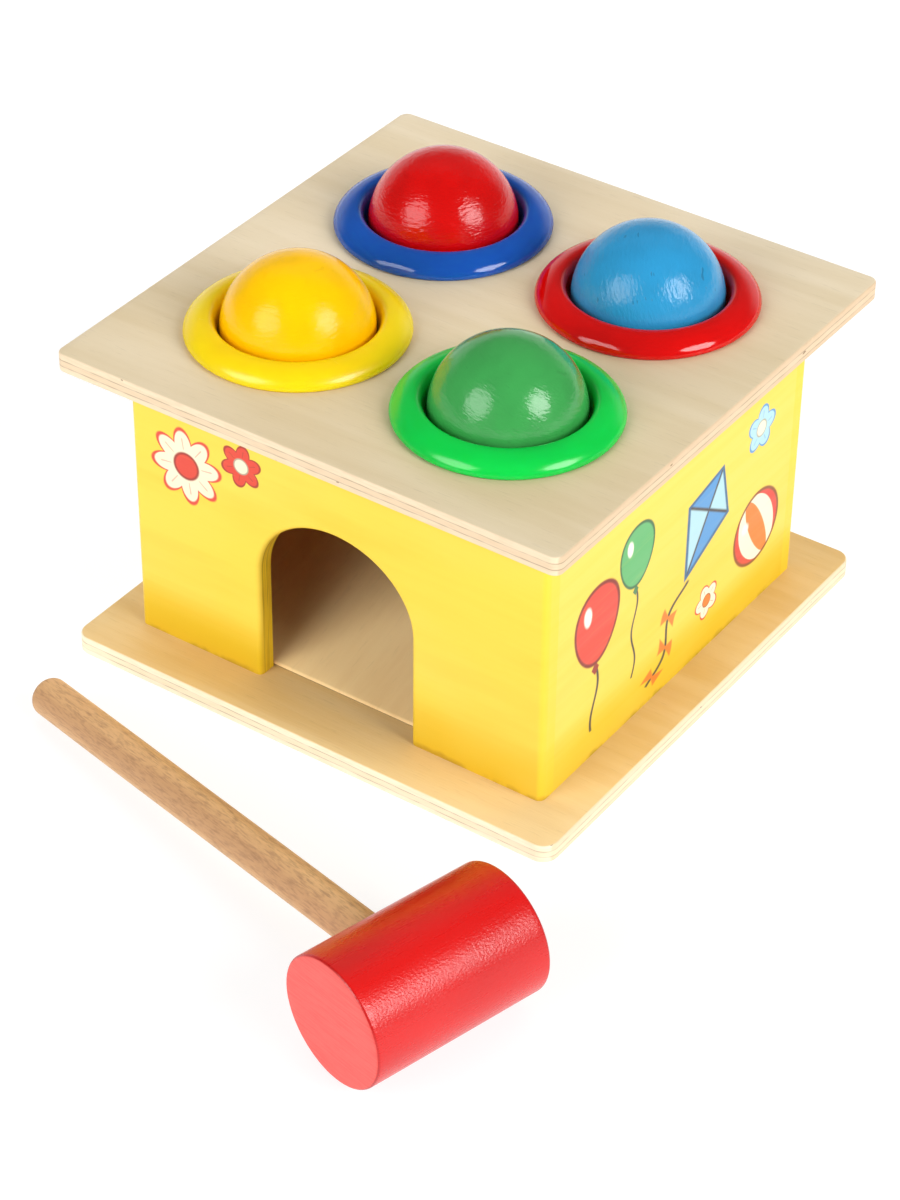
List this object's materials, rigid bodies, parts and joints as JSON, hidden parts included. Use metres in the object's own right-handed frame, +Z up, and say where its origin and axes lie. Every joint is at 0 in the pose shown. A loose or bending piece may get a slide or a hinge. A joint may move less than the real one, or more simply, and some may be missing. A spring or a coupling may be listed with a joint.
{
  "type": "ball pounding toy",
  "caption": "Wooden pounding toy: painted box between plywood plates, balls gripped in flanged rings on top, a ramp inside to an arched doorway, and a loose hammer.",
  "frame": {"origin": "centre of the base plate's underside, where the toy stands on the table", "axes": "+Z up, the wall with the doorway faces -Y, the hammer lies in front of it"},
  "size_m": [0.2032, 0.275, 0.1296],
  "materials": {
    "plywood": "sanded three-ply plywood, clear matt lacquer",
    "bare_board": "bare sanded board",
    "wall_paint": "yellow satin paint over wood grain, deeper at the foot",
    "hardwood": "bare turned hardwood dowel",
    "hammer_paint": "red satin paint over wood",
    "ring_blue": "glossy moulded plastic",
    "ring_red": "glossy moulded plastic",
    "ring_yellow": "glossy moulded plastic",
    "ring_green": "glossy moulded plastic",
    "ball_red": "painted wood, semi-gloss",
    "ball_blue": "painted wood, semi-gloss",
    "ball_yellow": "painted wood, semi-gloss",
    "ball_green": "painted wood, semi-gloss",
    "screw_steel": "zinc-plated steel"
  },
  "bodies": {
    "case": {"base_plate": "plywood", "top_plate": "plywood", "front_wall": "wall_paint", "back_wall": "wall_paint", "left_wall": "wall_paint", "right_wall": "wall_paint", "ramp_board": "bare_board", "ramp_cleat": "bare_board", "deflector_left": "bare_board", "deflector_right": "bare_board", "ring_blue": "ring_blue", "ring_red": "ring_red", "ring_yellow": "ring_yellow", "ring_green": "ring_green", "base_screw_1": "screw_steel", "base_screw_2": "screw_steel", "base_screw_3": "screw_steel", "base_screw_4": "screw_steel", "base_screw_5": "screw_steel", "base_screw_6": "screw_steel", "base_screw_7": "screw_steel", "base_screw_8": "screw_steel"},
    "red_ball": {"ball_red": "ball_red"},
    "blue_ball": {"ball_blue": "ball_blue"},
    "yellow_ball": {"ball_yellow": "ball_yellow"},
    "green_ball": {"ball_green": "ball_green"},
    "hammer": {"hammer_head": "hammer_paint", "hammer_handle": "hardwood"}
  },
  "joints": [
    {"name": "red_ball_drop", "type": "slide", "parent": "case", "child": "red_ball", "axis": [0, 0, -1], "range_m": [0, 0.0495]},
    {"name": "blue_ball_drop", "type": "slide", "parent": "case", "child": "blue_ball", "axis": [0, 0, -1], "range_m": [0, 0.0495]},
    {"name": "yellow_ball_drop", "type": "slide", "parent": "case", "child": "yellow_ball", "axis": [0, 0, -1], "range_m": [0, 0.0687]},
    {"name": "green_ball_drop", "type": "slide", "parent": "case", "child": "green_ball", "axis": [0, 0, -1], "range_m": [0, 0.0687]},
    {"name": "hammer_lift", "type": "slide", "parent": "case", "child": "hammer", "axis": [0, 0, 1], "range_m": [0, 0.12]}
  ]
}
